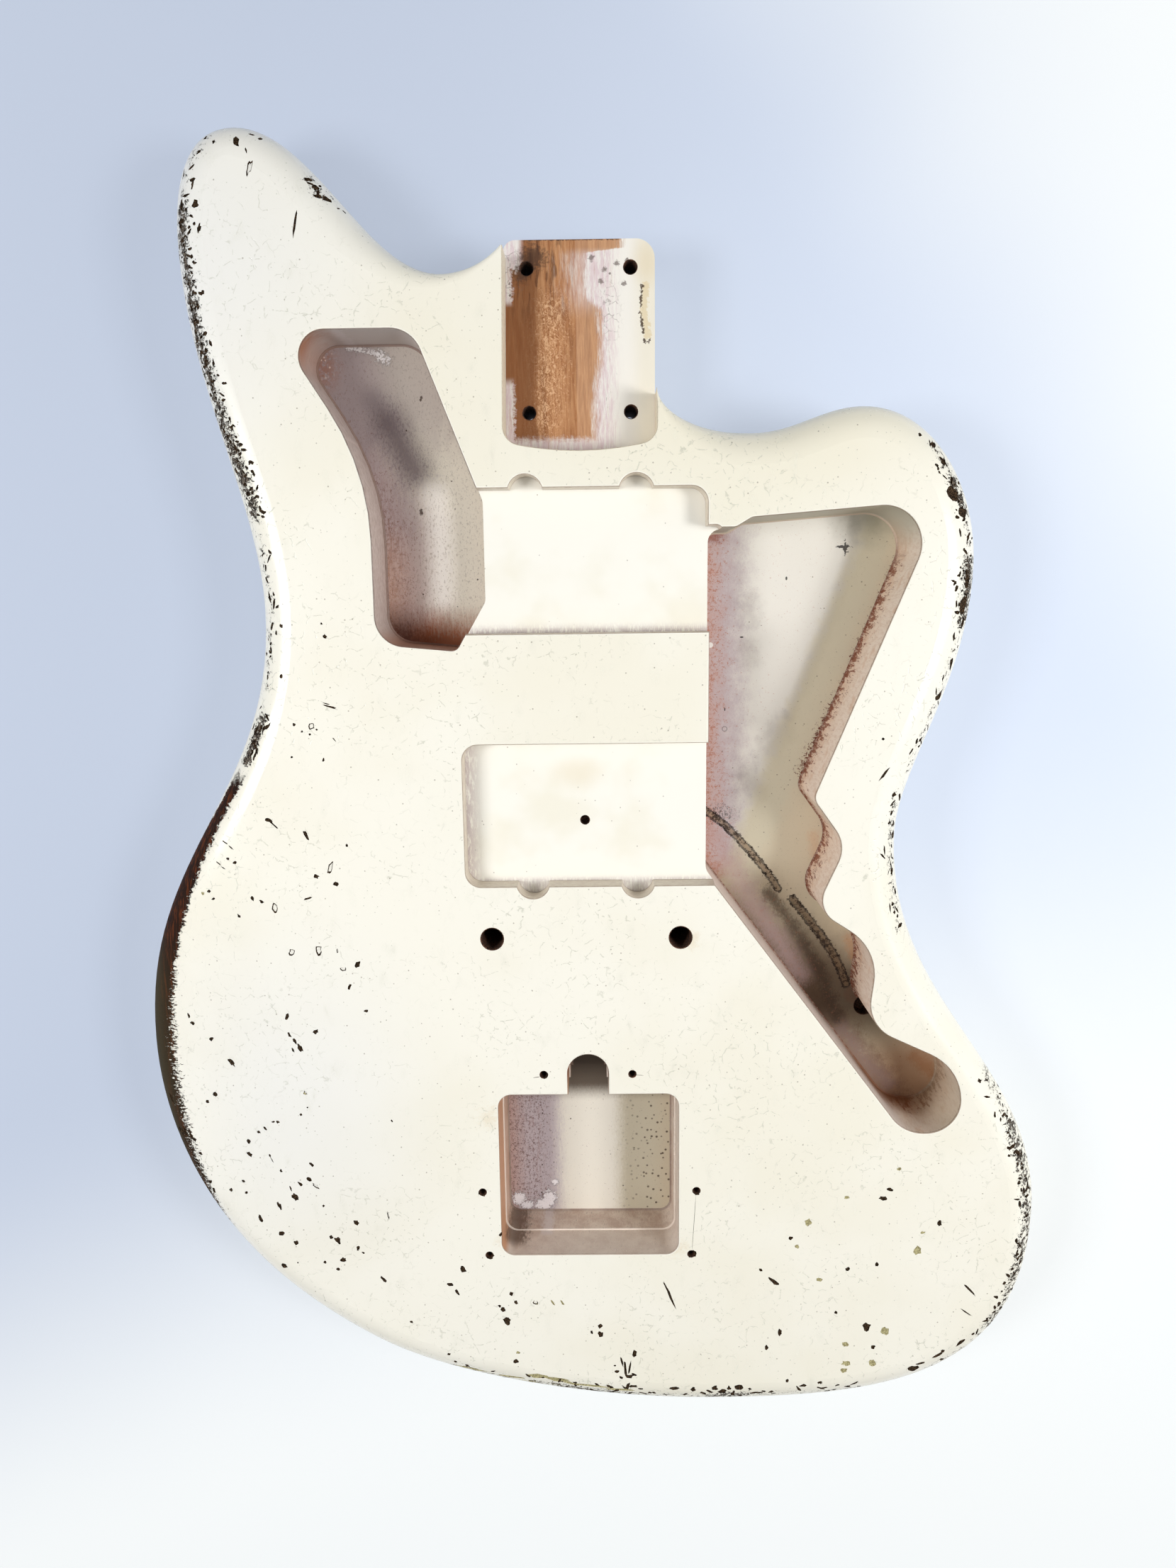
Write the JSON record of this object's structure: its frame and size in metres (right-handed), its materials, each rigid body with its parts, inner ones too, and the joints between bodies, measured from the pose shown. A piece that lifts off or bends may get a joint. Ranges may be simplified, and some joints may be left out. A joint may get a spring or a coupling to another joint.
{
  "type": "electric guitar body",
  "caption": "Bare offset-waist electric guitar body in worn cream lacquer, routed for a bolt-on neck, pickups, controls, a floating bridge and a tremolo.",
  "frame": {"origin": "on the flat back, below the midpoint between the two bridge-post holes", "axes": "+Z comes out of the face, +Y points along the centreline to the neck, +X points to the treble side"},
  "size_m": [0.3643, 0.5065, 0.0444],
  "materials": {
    "lacquered_wood": "gloss cream lacquer, worn to the wood along the edges"
  },
  "bodies": {
    "root": {"bass_outer_board": "lacquered_wood", "bass_inner_board": "lacquered_wood", "treble_inner_board": "lacquered_wood", "treble_outer_board": "lacquered_wood"}
  },
  "joints": []
}
